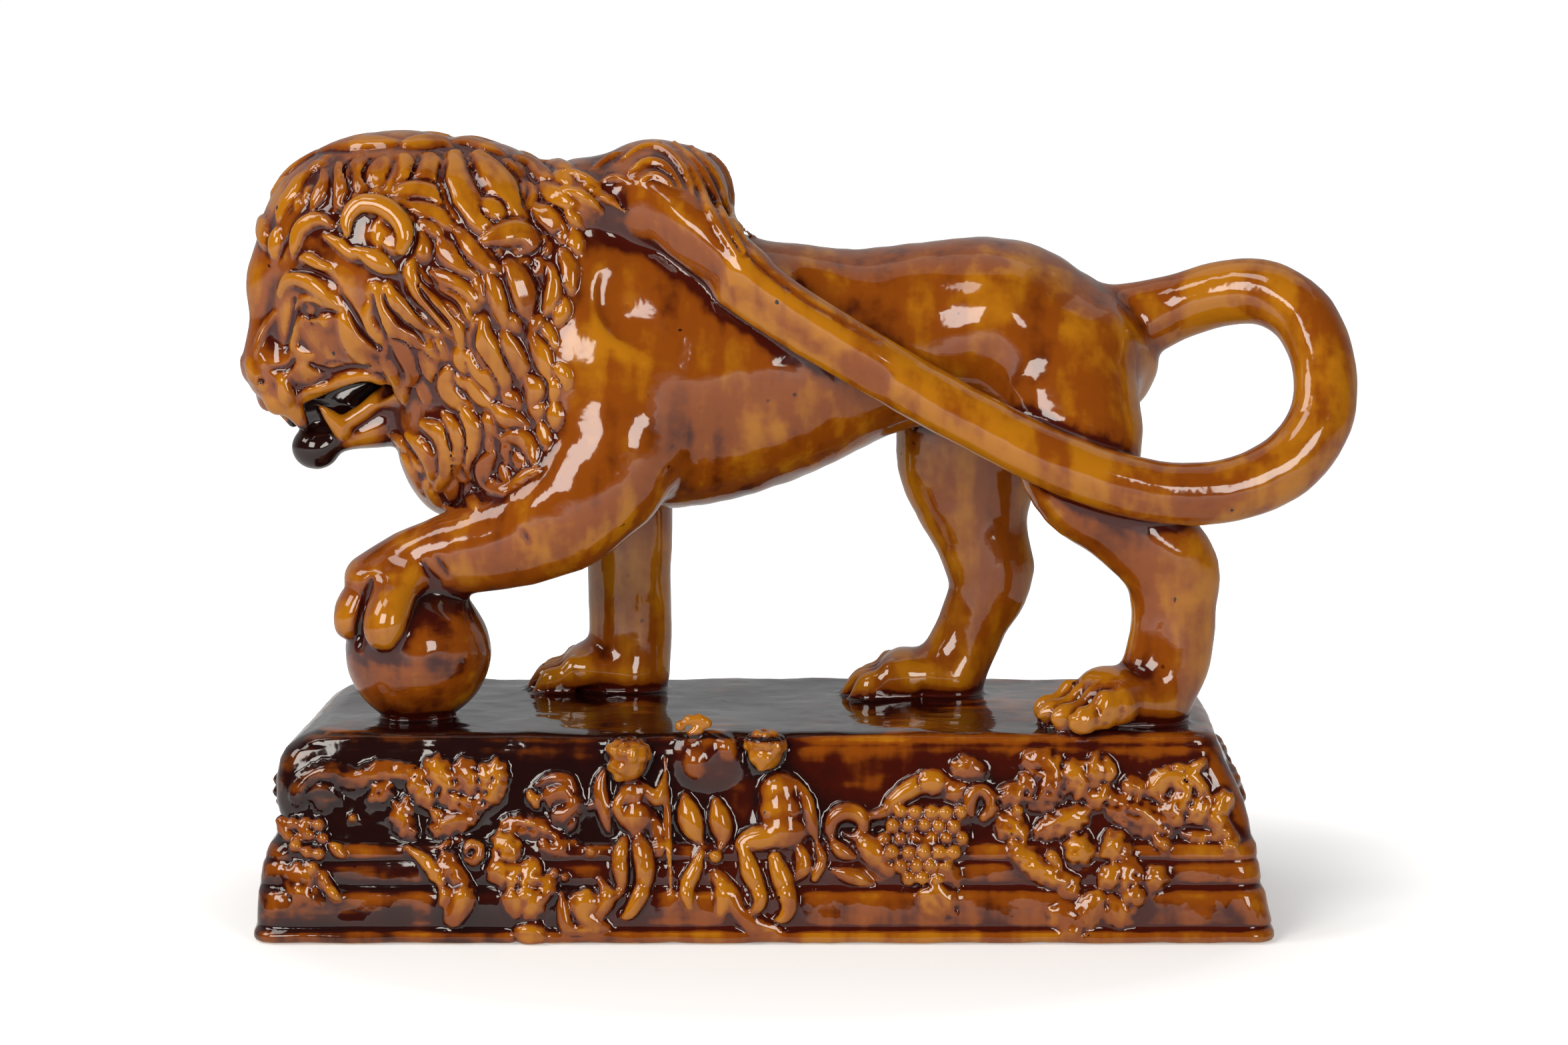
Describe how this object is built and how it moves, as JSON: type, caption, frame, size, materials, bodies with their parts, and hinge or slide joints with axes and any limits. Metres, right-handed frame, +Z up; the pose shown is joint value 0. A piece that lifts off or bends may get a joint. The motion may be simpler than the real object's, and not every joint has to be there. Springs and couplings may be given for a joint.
{
  "type": "staffordshire lion figure",
  "caption": "Glazed earthenware lion standing with a forepaw on a ball, its tail looped over its back, on an oblong moulded plinth with vine and child reliefs.",
  "frame": {"origin": "centre of the plinth's flat underside", "axes": "+Z up, -X the way the lion walks, -Y the side that the raised paw and ball are on, the front of the plinth"},
  "size_m": [0.3299, 0.1283, 0.2342],
  "materials": {
    "treacle_glaze": "glossy lead glaze, honey brown on high relief, pooling near black in hollows"
  },
  "bodies": {
    "root": {"lion_on_plinth": "treacle_glaze"}
  },
  "joints": []
}
